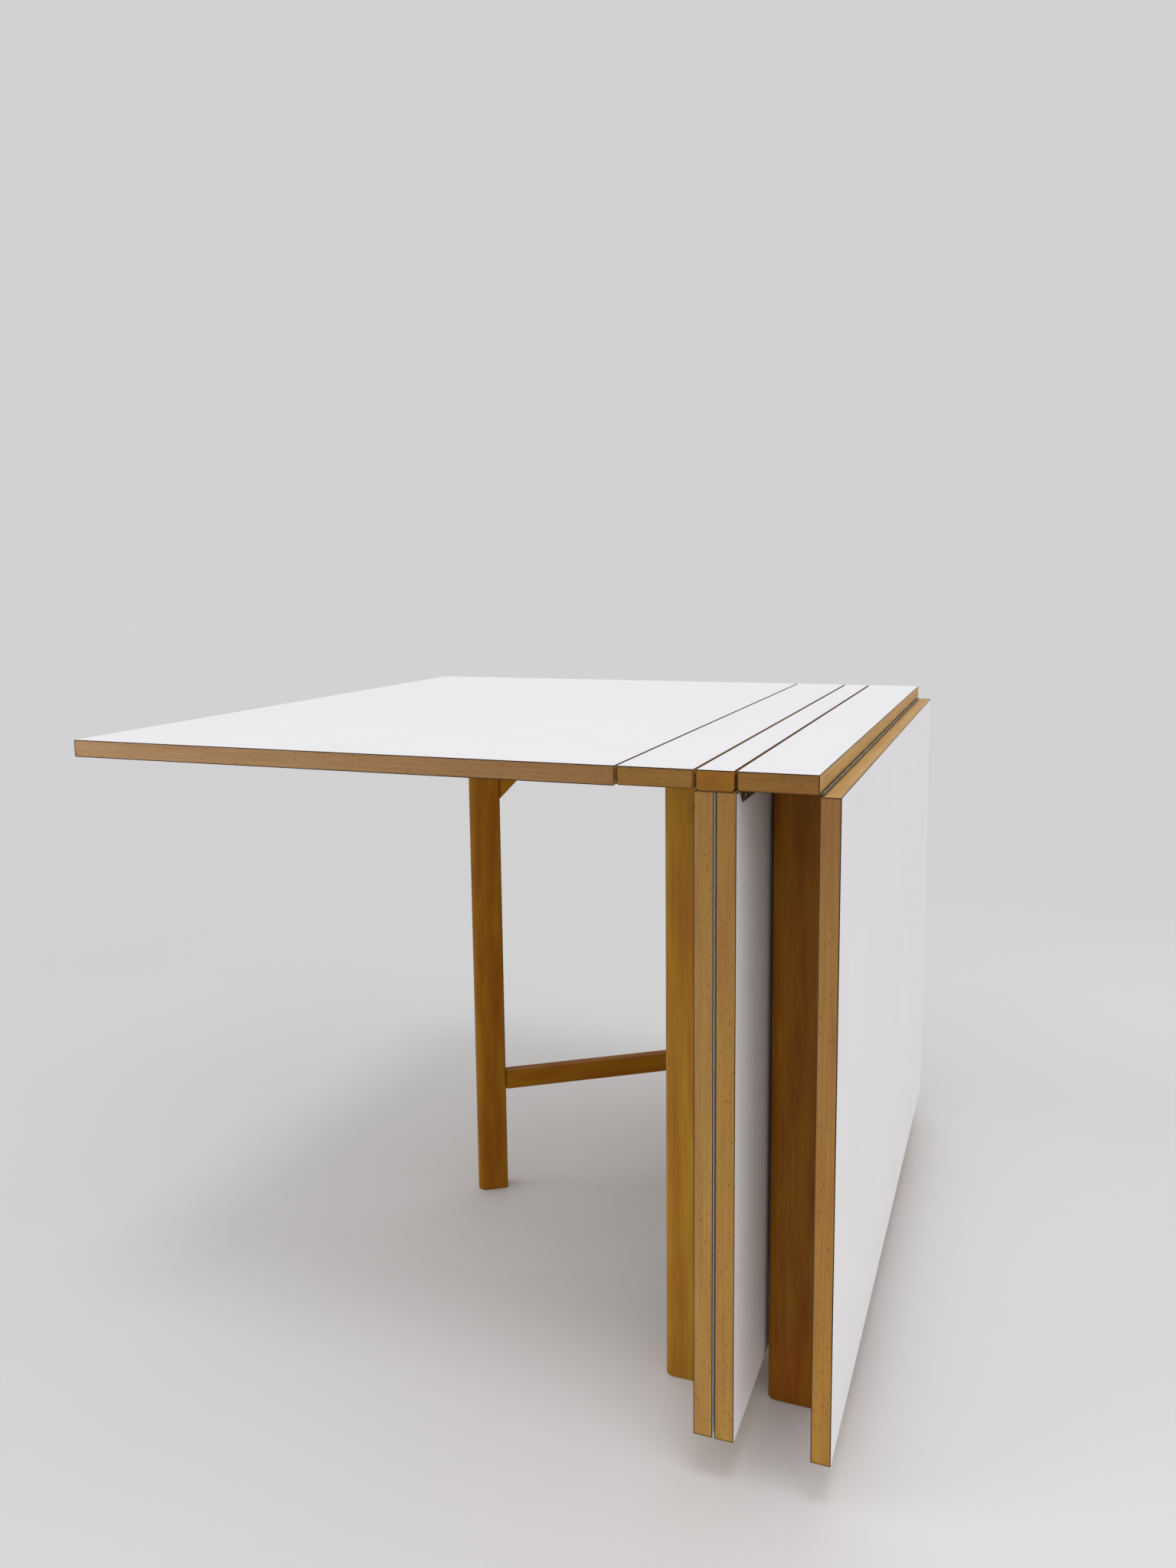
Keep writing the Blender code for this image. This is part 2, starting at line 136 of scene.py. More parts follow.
def laminate(name, thickness_axis, edge_tone):
    """White melamine face and brown phenolic edge; thickness_axis is 0, 1 or 2 for X, Y or Z."""
    material, tree = new_material(name)
    place = add_node(tree, "TexCoord", {}, "Object")
    facing = add_node(tree, "SeparateXYZ", {0: add_node(tree, "TexCoord", {}, "Normal")}, thickness_axis)
    turned = add_node(tree, "Math", {0: facing}, operation="ABSOLUTE")
    on_face = add_node(tree, "Math", {0: turned, 1: FACE_COSINE}, operation="GREATER_THAN")
    smudge = add_node(tree, "TexNoise", {"Vector": place, "Scale": 1 / SMUDGE, "Detail": 4.0})
    smudge_range = {0: smudge, 1: NOISE_LOW, 2: NOISE_HIGH}
    rubbed = add_node(tree, "MapRange", smudge_range)
    whites = {0: rubbed, 6: linear(FACE_WHITE), 7: linear(RUBBED_WHITE)}
    white = add_node(tree, "Mix", whites, 2, data_type="RGBA")
    colour = add_node(tree, "Mix", {0: on_face, 6: linear(edge_tone), 7: white}, 2, data_type="RGBA")
    gloss = add_node(tree, "MapRange", {**smudge_range, 3: FACE_ROUGHNESS, 4: RUBBED_ROUGHNESS})
    pebble = add_node(tree, "TexNoise", {"Vector": place, "Scale": 1 / PEBBLE, "Detail": 2.0})
    bump = add_node(tree, "Bump", {"Height": pebble, "Strength": 0.10, "Distance": PEBBLE_DEPTH})
    satin = {"Roughness": gloss, "IOR": RESIN_IOR, "Specular IOR Level": DULL_FACE}
    finish_surface(tree, {"Base Color": colour, "Normal": bump, **satin})
    return material


LAMINATE = {}
for sheet, edge_tone in EDGE_BROWN.items():
    for way, thickness_axis in (("level", 2), ("hanging", 0)):
        LAMINATE[sheet, way] = laminate(f"pressed_melamine_{sheet}_{way}", thickness_axis, edge_tone)
print("made", len(LAMINATE), "laminates with", FACE_WHITE, "faces")

# %% [markdown]
# ## Beech
# Beech is a smooth, even wood: almost no ring pattern, only a close, faint streak along the grain,
# broad soft bands and the short dark dashes of its rays. A picture of wood could be wrapped round each
# piece, but it would show where it repeats. Noise stretched along the grain never does: X runs along
# the wood, Y and Z across it, so each piece only has to turn its own coordinates that way first.
# Streaks and bands make a tone lighter or darker, so they multiply it; the bands also drift a little
# from red to yellow.

# %% Streaks and bands of beech
STREAK_LENGTH, STREAK_WIDTH = 140 * MM, 2.2 * MM
STREAK_CONTRAST = 0.12
BAND_LENGTH, BAND_WIDTH = 110 * MM, 14 * MM
HUE_AS_IT_IS = 0.5          # the setting at which the node leaves a hue alone
HUE_DRIFT = 0.08


def beech_figure(tree, place, tone, mottle):
    """The figured colour and its lightness next to tone; mottle says how far the bands stray from it."""
    streak_density = (1 / STREAK_LENGTH, 1 / STREAK_WIDTH, 1 / STREAK_WIDTH)
    streak_place = add_node(tree, "VectorMath", {0: place, 1: streak_density}, operation="MULTIPLY")
    lines = {"Vector": streak_place, "Scale": 1.0, "Detail": 4.0, "Roughness": 0.6}
    streak_range = {0: add_node(tree, "TexNoise", lines), 1: NOISE_LOW, 2: NOISE_HIGH}
    fine = add_node(tree, "MapRange", {**streak_range, 3: 1 - STREAK_CONTRAST, 4: 1 + STREAK_CONTRAST})
    band_density = (1 / BAND_LENGTH, 1 / BAND_WIDTH, 1 / BAND_WIDTH)
    band_place = add_node(tree, "VectorMath", {0: place, 1: band_density}, operation="MULTIPLY")
    bands = {"Vector": band_place, "Scale": 1.0, "Detail": 3.0}
    band_range = {0: add_node(tree, "TexNoise", bands), 1: NOISE_LOW, 2: NOISE_HIGH}
    broad = add_node(tree, "MapRange", {**band_range, 3: 1 - mottle, 4: 1 + mottle})
    drift = HUE_DRIFT * mottle
    hue = add_node(tree, "MapRange", {**band_range, 3: HUE_AS_IT_IS - drift, 4: HUE_AS_IT_IS + drift})
    tinted = add_node(tree, "HueSaturation", {"Hue": hue, "Color": tone})
    lightness = add_node(tree, "Math", {0: fine, 1: broad}, operation="MULTIPLY")
    figured = add_node(tree, "VectorMath", {0: tinted, "Scale": lightness}, operation="SCALE")
    return figured, lightness


print("streaks are about", STREAK_WIDTH / MM, "mm wide and bands", BAND_WIDTH / MM, "mm")

# %% [markdown]
# The dashes of the rays are Voronoi cells, stretched in the same way and cut off near their centres.
# Each is as strong as its cell's own random value, so some hardly show.

# %% Ray flecks of beech
FLECK_LENGTH, FLECK_WIDTH = 7 * MM, 2.8 * MM    # real dashes are half as wide; drawn coarser to show
FLECK_RIM, FLECK_HEART = 0.28, 0.10             # in cells from the centre: a dash starts, and is full


def ray_flecks(tree, place, fleck_share):
    """How much of each spot is a dark fleck, up to fleck_share."""
    density = (1 / FLECK_LENGTH, 1 / FLECK_WIDTH, 1 / FLECK_WIDTH)
    scaled = add_node(tree, "VectorMath", {0: place, 1: density}, operation="MULTIPLY")
    cells = {"Vector": scaled, "Scale": 1.0, "Randomness": 1.0}
    distance = add_node(tree, "TexVoronoi", cells)
    strength = add_node(tree, "SeparateXYZ", {0: add_node(tree, "TexVoronoi", cells, "Color")})
    dash = add_node(tree, "MapRange", {0: distance, 1: FLECK_RIM, 2: FLECK_HEART, 3: 0.0, 4: fleck_share})
    return add_node(tree, "Math", {0: dash, 1: strength}, operation="MULTIPLY")


print("ray flecks lie about", FLECK_LENGTH / MM, "by", FLECK_WIDTH / MM, "mm apart")

# %% [markdown]
# The flecks lie in the figured wood in a redder brown, and the lacquer lies over both. It is old and
# rubbed dull, which is why it mirrors so little. Every piece moves the pattern on by its own random
# value, so that no two boards look the same.

# %% Lacquered beech
FLECK_BROWN = "#713f16"
BOARD_SHIFT = (7.3, 3.1, 5.7)                   # metres at a random value of 1
DARK_GRAIN, LIGHT_GRAIN = 0.85, 1.1
DARK_ROUGHNESS, LIGHT_ROUGHNESS = 0.50, 0.40    # dark grain is more open
GRAIN_DEPTH = 0.2 * MM
DULL_LACQUER = 0.12                             # a quarter of the usual level


def beech(tree, grain, tone, fleck_share, mottle):
    """Shader inputs of lacquered beech whose grain follows X of the coordinates that come in as grain."""
    chance = add_node(tree, "ObjectInfo", {}, "Random")
    shifted = {0: chance, 1: BOARD_SHIFT, 2: grain}
    place = add_node(tree, "VectorMath", shifted, operation="MULTIPLY_ADD")
    figured, lightness = beech_figure(tree, place, tone, mottle)
    fleck = ray_flecks(tree, place, fleck_share)
    colour = add_node(tree, "Mix", {0: fleck, 6: figured, 7: linear(FLECK_BROWN)}, 2, data_type="RGBA")
    bump = add_node(tree, "Bump", {"Height": lightness, "Strength": 0.15, "Distance": GRAIN_DEPTH})
    sheens = {1: DARK_GRAIN, 2: LIGHT_GRAIN, 3: DARK_ROUGHNESS, 4: LIGHT_ROUGHNESS}
    sheen = add_node(tree, "MapRange", {0: lightness, **sheens})
    lacquer = {"Roughness": sheen, "IOR": RESIN_IOR, "Specular IOR Level": DULL_LACQUER}
    return {"Base Color": colour, "Normal": bump, **lacquer}


print("the lacquer has a specular level of", DULL_LACQUER)

# %% [markdown]
# ## Legs, gates and rails
# The legs and the gate frames are the darker pieces: beech stained brown under the lacquer. The left trestle
# has an amber tone, the gates a redder and darker one and the right trestle the darkest: partly a redder
# stain, partly painted shade, since the gate leg stands under the raised leaf and the right trestle's front
# leg in the recess between its hanging leaves. Legs and posts have upright grain and rails have it along
# their length, so each of them needs only one turn that brings its grain onto X.
# The gate that is swung out has its rails at an angle, so its grain is turned by the same angle.

# %% Leg and rail materials
AMBER = "#b07c25"
# the gates: a redder stain, made darker with painted shade
CHESTNUT_AND_SHADE = "#9b630c"
# the right trestle: a redder stain, made darkest with painted shade
UMBER_AND_SHADE = "#945b11"
STAINED = {"fleck_share": 0.2, "mottle": 0.13}      # stain hides the flecks and takes unevenly
QUARTER_TURN = math.radians(90)
joints = {joint["name"]: joint for joint in frame["record"]["behaviour"]["joints"]}
swing_degrees = joints["left_outer_gate_swing"]["range_deg"][1]
GRAIN_TURNS = {
    "upright": (0.0, QUARTER_TURN, 0.0),
    "across": (0.0, 0.0, -QUARTER_TURN),
    "angled": (0.0, 0.0, math.radians(swing_degrees) - QUARTER_TURN),
}


def straight_beech(name, turn, tone, fleck_share, mottle):
    """Beech whose grain runs one way; turn is the rotation that brings that way onto X."""
    material, tree = new_material(name)
    place = add_node(tree, "TexCoord", {}, "Object")
    grain = add_node(tree, "Mapping", {"Vector": place, "Rotation": turn})
    finish_surface(tree, beech(tree, grain, linear(tone), fleck_share, mottle))
    return material


WOOD = {}
for stain, tone in (("amber", AMBER), ("chestnut", CHESTNUT_AND_SHADE), ("umber", UMBER_AND_SHADE)):
    for grain, turn in GRAIN_TURNS.items():
        if grain == "angled" and stain != "chestnut":
            continue                                # only a gate stands at an angle
        WOOD[stain, grain] = straight_beech(f"stained_beech_{stain}_{grain}", turn, tone, **STAINED)
print("made", len(WOOD), "stained beech materials; the gate stands open by", swing_degrees, "degrees")

# %% [markdown]
# ## Lippings
# Each panel has a frame of solid beech, mitred at the corners, under a clear lacquer. Its grain
# turns a corner with the frame: along the panel's length on the long sides and along its width
# on the ends. One material per panel does that by comparing how far a point lies from the nearest end
# and from the nearest long side, which is exactly where a mitre runs.
# The end pieces differ from panel to panel, as boards do, and across each end the tone runs from one long
# side to the other, on the leaves from lighter to darker.
# The lipping is darker near each corner of the frame, and the lower edge of the strips is darker too, which
# is painted shade under the strips.

# %% Lipping materials
LONG_SIDES = "#c79d5b"
END_TONES = {
    "left_outer_leaf": ("#c39b6f", "#9d7448"),
    "left_inner_leaf": ("#bb8d4b", "#a67d46"),
    "right_inner_leaf": ("#ba8d46", "#a57a40"),
    "right_outer_leaf": ("#b8863d", "#a07545"),
    "left_strip": ("#9a6f39", "#9a6f39"),
    "right_strip": ("#946834", "#946834"),
}
CENTRE_BROWN = "#9a6927"
CLEAR = {"fleck_share": 0.8, "mottle": 0.06}        # clear lacquer shows every fleck on an even tone
# darker corners, and painted shade along the strips' lower edge
DARK_EDGE_BROWN, DARK_EDGE_SHARE = "#4a2c10", 0.8
CORNER, CORNER_FULL = 1.6 * MM, 0.64 * MM           # from a corner: the darkening starts, and is full
LOWER_EDGE, LOWER_EDGE_FULL = 1.2 * MM, 0.6 * MM


def lipping(panel, width_axis):
    """Mitred beech lipping of a panel whose width lies along an axis, 0 for X or 2 for Z."""
    material, tree = new_material("clear_lacquered_beech_" + panel)
    low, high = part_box(panel + "_lipping")
    middle, half = (low + high) / 2, (high - low) / 2
    place = add_node(tree, "TexCoord", {}, "Object")
    centred = add_node(tree, "VectorMath", {0: place, 1: middle}, operation="SUBTRACT")
    parts = [add_node(tree, "SeparateXYZ", {0: centred}, axis) for axis in (0, 1, 2)]
    inward = {}
    for axis in (1, width_axis):
        far = add_node(tree, "Math", {0: parts[axis]}, operation="ABSOLUTE")
        inward[axis] = add_node(tree, "Math", {0: half[axis], 1: far}, operation="SUBTRACT")
    on_end = add_node(tree, "Math", {0: inward[1], 1: inward[width_axis]}, operation="LESS_THAN")
    thick = parts[2 - width_axis]
    along = add_node(tree, "CombineXYZ", {0: parts[1], 1: parts[width_axis], 2: thick})
    round_end = add_node(tree, "CombineXYZ", {0: parts[width_axis], 1: parts[1], 2: thick})
    grain = add_node(tree, "Mix", {0: on_end, 4: along, 5: round_end}, 1, data_type="VECTOR")
    # each end's tone runs across the panel's width, from its first tone to its second
    reach = add_node(tree, "MapRange", {0: parts[width_axis], 1: -half[width_axis], 2: half[width_axis]})
    tones = [linear(tone) for tone in END_TONES[panel]]
    end_tone = add_node(tree, "Mix", {0: reach, 6: tones[0], 7: tones[1]}, 2, data_type="RGBA")
    tone = add_node(tree, "Mix", {0: on_end, 6: linear(LONG_SIDES), 7: end_tone}, 2, data_type="RGBA")
    # darker near each corner of the frame
    nearest = add_node(tree, "Math", {0: inward[1], 1: inward[width_axis]}, operation="MAXIMUM")
    dark = add_node(tree, "MapRange", {0: nearest, 1: CORNER, 2: CORNER_FULL, 3: 0.0, 4: DARK_EDGE_SHARE})
    # painted shade: a strip's lipping darkens towards its lower edge
    if panel.endswith("strip"):
        above = add_node(tree, "Math", {0: thick, 1: half.z}, operation="ADD")
        edge = {0: above, 1: LOWER_EDGE, 2: LOWER_EDGE_FULL, 3: 0.0, 4: DARK_EDGE_SHARE}
        lower = add_node(tree, "MapRange", edge)
        dark = add_node(tree, "Math", {0: dark, 1: lower}, operation="MAXIMUM")
    darkened_tone = add_node(tree, "Mix", {0: dark, 6: tone, 7: linear(DARK_EDGE_BROWN)}, 2, data_type="RGBA")
    finish_surface(tree, beech(tree, grain, darkened_tone, **CLEAR))
    return material


centre_grain = GRAIN_TURNS["across"]
CENTRE_BEECH = straight_beech("clear_lacquered_beech_centre_strip", centre_grain, CENTRE_BROWN, **CLEAR)
print("lipping corners darken over", CORNER / MM, "mm")

# %% [markdown]
# ## Steel
# The hinges are rolled from plain mild steel strip, oiled and not plated. Rolling leaves fine lines
# along the strip, age leaves a dull brown. The screws are turned from brighter steel.
# Metal colour is all reflection, so the base colour is the tint of what it mirrors, and a fairly
# high roughness keeps it dull.

# %% Steel materials
ROLL_LENGTH, ROLL_WIDTH = 60 * MM, 0.8 * MM     # real lines are about 0.1 mm; drawn coarser so that they show
ROLL_DEPTH = 0.05 * MM
FILM = 18 * MM
FILM_THIN, FILM_THICK = 0.35, 0.7               # noise values where the oil film starts and is full
SMOOTH_STEEL, ROUGH_STEEL = 0.38, 0.54


def steel(name, clean, filmed):
    """Mild steel with lines along Y and patches of dull oil film; clean and filmed are its two tones."""
    material, tree = new_material(name)
    place = add_node(tree, "TexCoord", {}, "Object")
    density = (1 / ROLL_WIDTH, 1 / ROLL_LENGTH, 1 / ROLL_WIDTH)
    scaled = add_node(tree, "VectorMath", {0: place, 1: density}, operation="MULTIPLY")
    lines = add_node(tree, "TexNoise", {"Vector": scaled, "Scale": 1.0, "Detail": 3.0})
    film = add_node(tree, "TexNoise", {"Vector": place, "Scale": 1 / FILM, "Detail": 3.0})
    dull = add_node(tree, "MapRange", {0: film, 1: FILM_THIN, 2: FILM_THICK})
    colour = add_node(tree, "Mix", {0: dull, 6: linear(clean), 7: linear(filmed)}, 2, data_type="RGBA")
    line_range = {0: lines, 1: NOISE_LOW, 2: NOISE_HIGH}
    gloss = add_node(tree, "MapRange", {**line_range, 3: SMOOTH_STEEL, 4: ROUGH_STEEL})
    bump = add_node(tree, "Bump", {"Height": lines, "Strength": 0.15, "Distance": ROLL_DEPTH})
    finish_surface(tree, {"Base Color": colour, "Metallic": 1.0, "Roughness": gloss, "Normal": bump})
    return material


HINGE_STEEL = steel("rolled_oiled_mild_steel", "#938d82", "#625b51")
SCREW_STEEL = steel("turned_bright_steel", "#d6d2ca", "#b9b3a8")
print("steel lines are", ROLL_WIDTH / MM, "mm wide")

# %% [markdown]
# ## Chipboard
# The core of each panel is chipboard: wood chips pressed with glue. It shows only under the trestle
# strips, where nothing covers it. Voronoi cells give flat chips, each with its own tone, and a finer
# noise gives the fibres in them.

# %% Chipboard material
CHIP = 2.5 * MM
FIBRE = 0.625 * MM
CHIP_DARK, CHIP_PALE = "#9b7a50", "#cfae7c"
CHIP_DEPTH = 0.3 * MM


def chipboard(name):
    """Raw pressed chips, matt and pale brown."""
    material, tree = new_material(name)
    place = add_node(tree, "TexCoord", {}, "Object")
    chips = add_node(tree, "TexVoronoi", {"Vector": place, "Scale": 1 / CHIP, "Randomness": 1.0}, "Color")
    shade = add_node(tree, "SeparateXYZ", {0: chips})
    fine = add_node(tree, "TexNoise", {"Vector": place, "Scale": 1 / FIBRE, "Detail": 3.0})
    blend = add_node(tree, "Math", {0: shade, 1: fine}, operation="MULTIPLY")
    tones = {0: blend, 6: linear(CHIP_DARK), 7: linear(CHIP_PALE)}
    colour = add_node(tree, "Mix", tones, 2, data_type="RGBA")
    bump = add_node(tree, "Bump", {"Height": blend, "Strength": 0.4, "Distance": CHIP_DEPTH})
    finish_surface(tree, {"Base Color": colour, "Roughness": 0.85, "IOR": 1.45, "Normal": bump})
    return material


CHIPBOARD = chipboard("raw_pressed_chipboard")
print("chips are about", CHIP / MM, "mm across")

# %% [markdown]
# ## Hand out the finishes
# Every CAD piece says in its name what it is, so one loop can give each its material.
# A leaf that stands level has its laminate across Z; a hanging one has it across X.

# %% Assign materials


def stands_level(node):
    """True for a sheet or panel that is flatter in Z than in X."""
    low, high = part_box(node)
    return high.z - low.z < high.x - low.x


def finish_of(node):
    """The material of one CAD piece, by its name."""
    if node.endswith("laminate"):
        sheet = "under" if node.endswith("_under_laminate") else "top"
        return LAMINATE[sheet, "level" if stands_level(node) else "hanging"]
    if node.endswith("_lipping"):
        return lipping(node.removesuffix("_lipping"), 0 if stands_level(node) else 2)
    if node.endswith("_core"):
        return CHIPBOARD
    if "_hinge_" in node:
        return HINGE_STEEL
    if node == "centre_strip_body":
        return CENTRE_BEECH
    # the right trestle's darker tone carries painted shade
    trestle_stain = "amber" if node.startswith("left") else "umber"
    stain = "chestnut" if "gate" in node else trestle_stain
    if node.endswith(("_leg", "_post")):
        return WOOD[stain, "upright"]
    return WOOD[stain, "angled" if node.startswith("left_outer_gate") else "across"]


for node, piece in nodes.items():
    piece.material_slots[0].material = finish_of(node)
print("gave a finish to", len(nodes), "pieces")

# %% [markdown]
# ## Hinge screws
# Each hinge plate is held by a row of small countersunk screws with slotted heads. A head is a very low
# dome with a slot across it, sunk a little into the plate. Turning a profile and cutting the slot with
# a Boolean would do, but rings of points, of which those in the slot are pushed in, are simpler.
# All heads on one plate are one mesh that rides with the body of that plate.

# %% Screw heads
SCREW_RADIUS = 2.6 * MM
SLOT_WIDTH = 0.9 * MM
SLOT_DEPTH = 0.5 * MM
SCREW_SIDES = 24
SCREW_RINGS = ((1.0, -0.4), (0.97, 0.15), (0.6, 0.27), (0.25, 0.3))     # share of the radius, height in mm


def add_screw_head(bm, place):
    """A low domed head that faces the Z axis of its place, with a slot across it."""
    rings = []
    for share, height in SCREW_RINGS:
        ring = []
        for side in range(SCREW_SIDES):
            angle = 2 * math.pi * (side + 0.5) / SCREW_SIDES
            x, y = share * SCREW_RADIUS * math.cos(angle), share * SCREW_RADIUS * math.sin(angle)
            in_slot = abs(y) < SLOT_WIDTH / 2 and share < 1
            spot = Vector((x, y, height * MM - (SLOT_DEPTH if in_slot else 0.0)))
            ring.append(bm.verts.new(place @ spot))
        rings.append(ring)
    for outer, inner in zip(rings, rings[1:]):
        for side in range(SCREW_SIDES):
            after = (side + 1) % SCREW_SIDES
            bm.faces.new((outer[side], outer[after], inner[after], inner[side]))
    bm.faces.new(rings[-1])
    bm.faces.new(reversed(rings[0]))


print("a screw head is", 2 * SCREW_RADIUS / MM, "mm across")

# %% [markdown]
# A plate lies flush in the underside of a strip or of a leaf, so the board or the sheet around it tells
# where its bare face is. Its own box tells where its outer edge lies.

# %% Places on the hinge plates
EDGE_DISTANCE = {"strip_plate": 3.8 * MM, "leaf_plate": 5.0 * MM}


def plate_frame(side, position, kind):
    """A matrix on a plate's bare face: X across the plate, Y along it and Z away from the face."""
    low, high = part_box(f"{side}_{position}_hinge_{kind}")
    pin_low, pin_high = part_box(f"{side}_{position}_hinge_pin")
    pin = (pin_low + pin_high) / 2
    leaf = f"{side}_{position}_leaf"
    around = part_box(f"{side}_strip_core" if kind == "strip_plate" else leaf + "_under_laminate")
    if high.z - low.z < high.x - low.x:
        outward = 1 if high.x - pin.x > pin.x - low.x else -1
        outer_edge = high.x if outward > 0 else low.x
        spot = (outer_edge - outward * EDGE_DISTANCE[kind], pin.y, around[0].z)
        away = Vector((0, 0, -1))
    else:
        inward = 1 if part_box(leaf + "_top_laminate")[0].x < around[0].x else -1
        spot = ((around[1] if inward > 0 else around[0]).x, pin.y, low.z + EDGE_DISTANCE[kind])
        away = Vector((inward, 0, 0))
    along = Vector((0, 1, 0))
    turned = Matrix((along.cross(away), along, away)).transposed().to_4x4()
    return Matrix.Translation(spot) @ turned


print("screws stand", EDGE_DISTANCE["leaf_plate"] / MM, "mm from the edge of a leaf's plate")

# %% [markdown]
# The screws of a plate are spaced evenly about its middle. Each was turned until it was tight, so
# every slot stops at another angle.

# %% Screws on every plate
SCREW_PITCH = 92 * MM
SCREW_COUNT = 10
SLOT_TURN = math.radians(67)
screws = 0
for side in ("left", "right"):
    for position in ("outer", "inner"):
        hinge = f"{side}_{position}_hinge"
        for kind, body in (("strip_plate", f"{side}_trestle"), ("leaf_plate", f"{side}_{position}_leaf")):
            place = plate_frame(side, position, kind)
            heads = bmesh.new()
            for index in range(SCREW_COUNT):
                step = (index - (SCREW_COUNT - 1) / 2) * SCREW_PITCH
                turn = Matrix.Rotation(index * SLOT_TURN, 4, "Z")
                add_screw_head(heads, place @ Matrix.Translation((0, step, 0)) @ turn)
            mesh = bpy.data.meshes.new(f"{hinge}_{kind}_screws")
            heads.to_mesh(mesh)
            heads.free()
            mesh.materials.append(SCREW_STEEL)
            piece = bpy.data.objects.new(mesh.name, mesh)
            bpy.context.collection.objects.link(piece)
            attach(piece, body)
            screws += SCREW_COUNT
print("drove", screws, "screws")

# %% [markdown]
# ## Floor
# The table stands on a plain pale floor, painted and matt. Its colour carries painted light: it is lightest
# at the right front, where the light comes in, and fades with distance, a little unevenly. It ends in the
# tone of the world around it, so that the edge between them vanishes. A curved backdrop would hide that edge
# too, but it would stand in the way of the views from behind.

# %% Floor
FLOOR_SIZE = 40.0
FLOOR_PATCH = 0.9
LIGHT_SPOT = (1.0, -1.0, 0.0)
FADE_START, FADE_END = 1.0, 3.6
FLOOR_PAINTED_LIGHT, FLOOR_PAINTED_DIM = "#e4e2e0", "#d2d2d1"
reach = FLOOR_SIZE / 2
floor_mesh = bpy.data.meshes.new("studio_floor")
corners = [(-reach, -reach, 0.0), (reach, -reach, 0.0), (reach, reach, 0.0), (-reach, reach, 0.0)]
floor_mesh.from_pydata(corners, [], [(0, 1, 2, 3)])
floor = bpy.data.objects.new("studio_floor", floor_mesh)
bpy.context.collection.objects.link(floor)
floor_paint, tree = new_material("pale_painted_floor")
place = add_node(tree, "TexCoord", {}, "Object")
cloud = add_node(tree, "TexNoise", {"Vector": place, "Scale": 1 / FLOOR_PATCH, "Detail": 2.0})
away = add_node(tree, "VectorMath", {0: place, 1: LIGHT_SPOT}, "Value", operation="DISTANCE")
uneven = add_node(tree, "Math", {0: away, 1: cloud}, operation="ADD")
# painted light: lightest near LIGHT_SPOT, dimmer with distance
painted_light_fade = add_node(tree, "MapRange", {0: uneven, 1: FADE_START, 2: FADE_END})
tones = {0: painted_light_fade, 6: linear(FLOOR_PAINTED_LIGHT), 7: linear(FLOOR_PAINTED_DIM)}
paint = add_node(tree, "Mix", tones, 2, data_type="RGBA")
finish_surface(tree, {"Base Color": paint, "Roughness": 0.7, "IOR": 1.45})
floor_mesh.materials.append(floor_paint)
print("floor", FLOOR_SIZE, "m square")

# %% [markdown]
# ## Light
# The world has two tones: a plain pale one that the camera and shiny surfaces see, and a weaker white
# that lights the table from all sides. Light Path tells which kind of ray asks.

# %% World
BACKGROUND = "#d2d2d3"
AMBIENT = 0.46
AMBIENT_WHITE = "#fffefc"
world = bpy.data.worlds.new("pale_surround")
world.use_nodes = True
tree = world.node_tree
tree.nodes.clear()
path = tree.nodes.new("ShaderNodeLightPath")
seen = path.outputs["Is Camera Ray"]
for ray in ("Is Glossy Ray", "Is Transmission Ray"):
    seen = add_node(tree, "Math", {0: seen, 1: path.outputs[ray]}, operation="MAXIMUM")
ambient = add_node(tree, "Background", {"Color": linear(AMBIENT_WHITE), "Strength": AMBIENT})
backdrop = add_node(tree, "Background", {"Color": linear(BACKGROUND), "Strength": 1.0})
sky = add_node(tree, "MixShader", {0: seen, 1: ambient, 2: backdrop})
world_output = tree.nodes.new("ShaderNodeOutputWorld")
tree.links.new(sky, world_output.inputs["Surface"])
bpy.context.scene.world = world
print("ambient light", AMBIENT, "in front of", BACKGROUND)

# %% [markdown]
# Sun lamps with a wide angle work like a ceiling of light panels: the widest one,
# above, gives the bright top and the broad shadow under the raised leaf, and a smaller one beside it
# draws the darker shadows where the leaves hang near the floor. Two weaker lamps, from the right
# and from the left front, lift the right leaf and the gate leg.

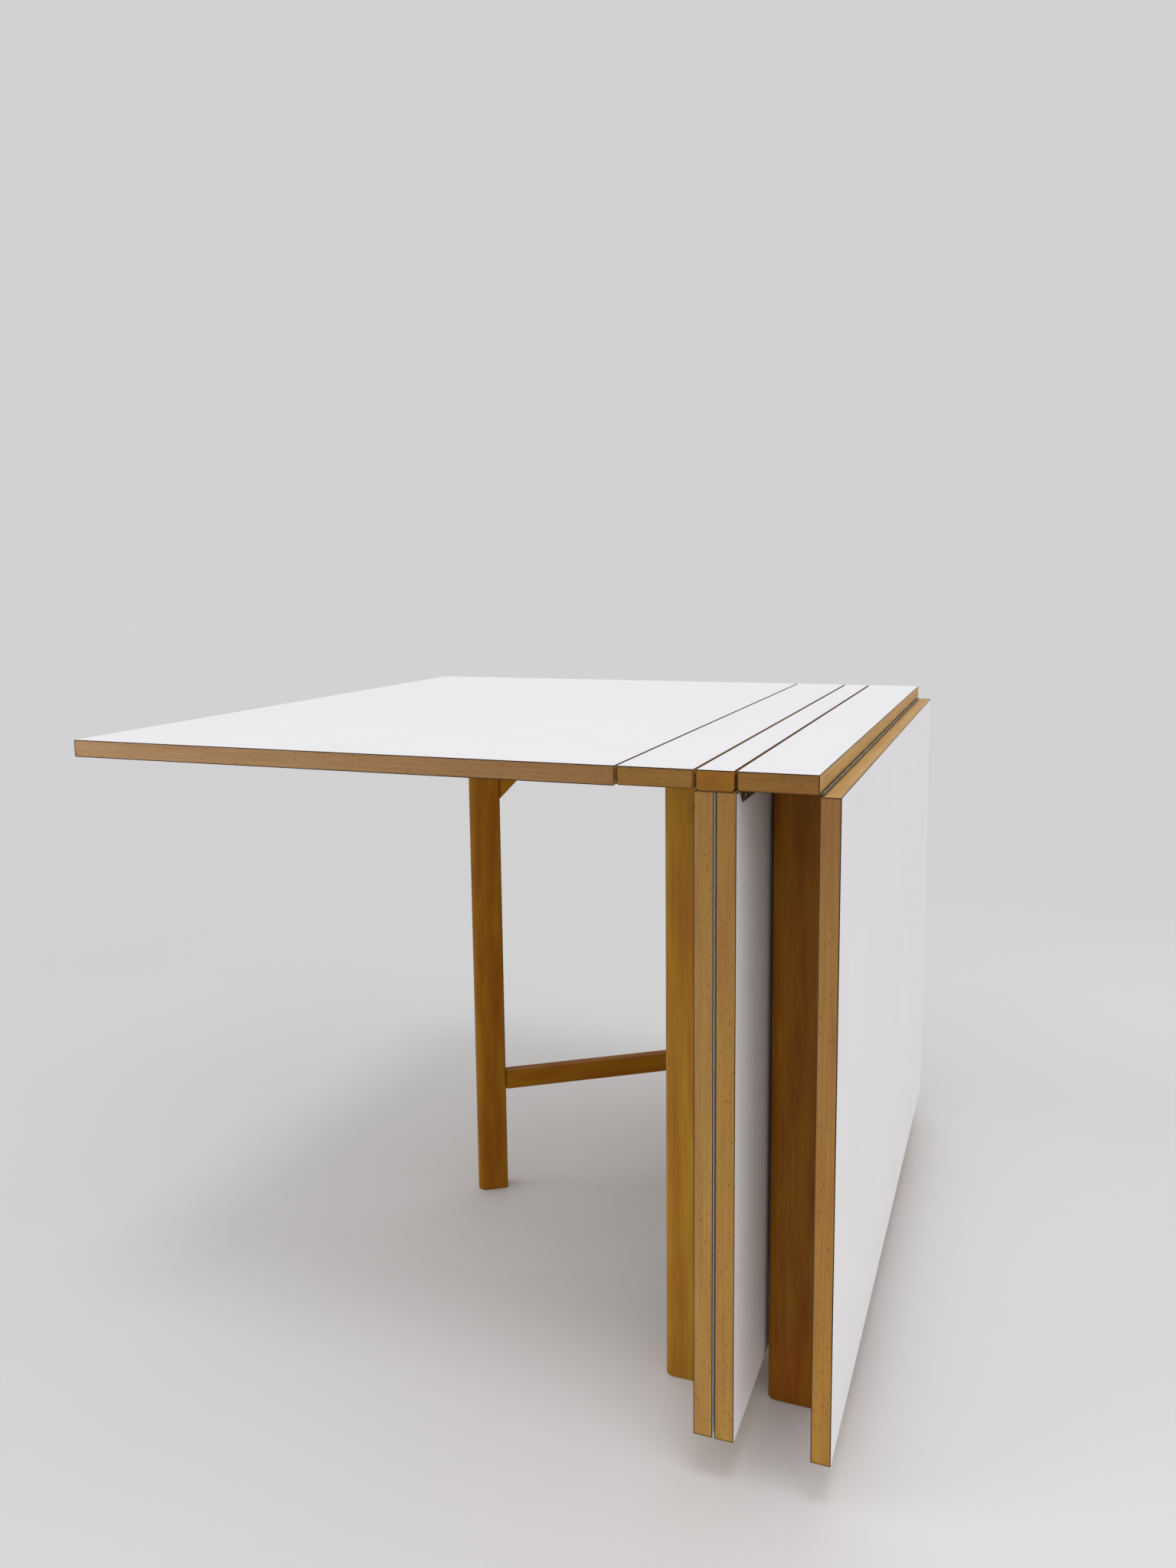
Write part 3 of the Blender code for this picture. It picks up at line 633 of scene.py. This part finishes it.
# %% Lamps
LAMPS = {       # strength, width in degrees, direction towards the lamp, tint
    "soft_top_light": (0.84, 110, (0.05, -0.1, 1.0), "#f6f6ff"),
    "overhead_light": (0.46, 18, (0.12, -0.18, 1.0), "#f6f6ff"),
    "right_fill_light": (0.45, 70, (1.0, -0.1, 0.6), "#ffffff"),
    "left_fill_light": (0.30, 30, (-0.7, -0.35, 0.75), "#ffffff"),
}
for name, (strength, width, source, tint) in LAMPS.items():
    lamp_data = bpy.data.lights.new(name, "SUN")
    lamp_data.energy = strength
    lamp_data.angle = math.radians(width)
    lamp_data.color = linear(tint)[:3]
    lamp = bpy.data.objects.new(name, lamp_data)
    lamp.rotation_euler = Vector(source).to_track_quat("Z", "Y").to_euler()
    bpy.context.collection.objects.link(lamp)
print("hung", len(LAMPS), "soft lamps")

# %% [markdown]
# ## Camera
# The camera stands where the photo was taken: a little above the table, near its right end, turned to the
# left. Its place, turn and lens come from fitting the corners of the table to those in the photo.
# The middle of the lens lies a little off the middle of the picture, which the shift allows for.

# %% Camera
LONG_SIDE = 2048                        # pixels, as the next two values
FOCAL_PIXELS = 1545.7
PRINCIPAL_OFFSET = (11.83, -59.44)
SENSOR_WIDTH = 36.0                     # millimetres
CAMERA_PLACE = (0.5898, -1.4882, 0.8913)
TURN_LEFT, LOOK_DOWN, ROLL = 20.507, 7.683, -0.612      # degrees
camera_data = bpy.data.cameras.new("photo_camera")
camera_data.sensor_width = SENSOR_WIDTH
camera_data.lens = SENSOR_WIDTH * FOCAL_PIXELS / LONG_SIDE
camera_data.shift_x = -PRINCIPAL_OFFSET[0] / LONG_SIDE
camera_data.shift_y = PRINCIPAL_OFFSET[1] / LONG_SIDE
camera = bpy.data.objects.new("photo_camera", camera_data)
bpy.context.collection.objects.link(camera)
heading = Matrix.Rotation(math.radians(TURN_LEFT), 4, "Z")
tilt = Matrix.Rotation(math.radians(90 - LOOK_DOWN), 4, "X")
roll = Matrix.Rotation(math.radians(ROLL), 4, "Z")
camera.matrix_world = Matrix.Translation(CAMERA_PLACE) @ heading @ tilt @ roll
bpy.context.scene.camera = camera
bpy.context.scene.view_settings.view_transform = "Standard"
print("lens", round(camera_data.lens, 2), "mm")
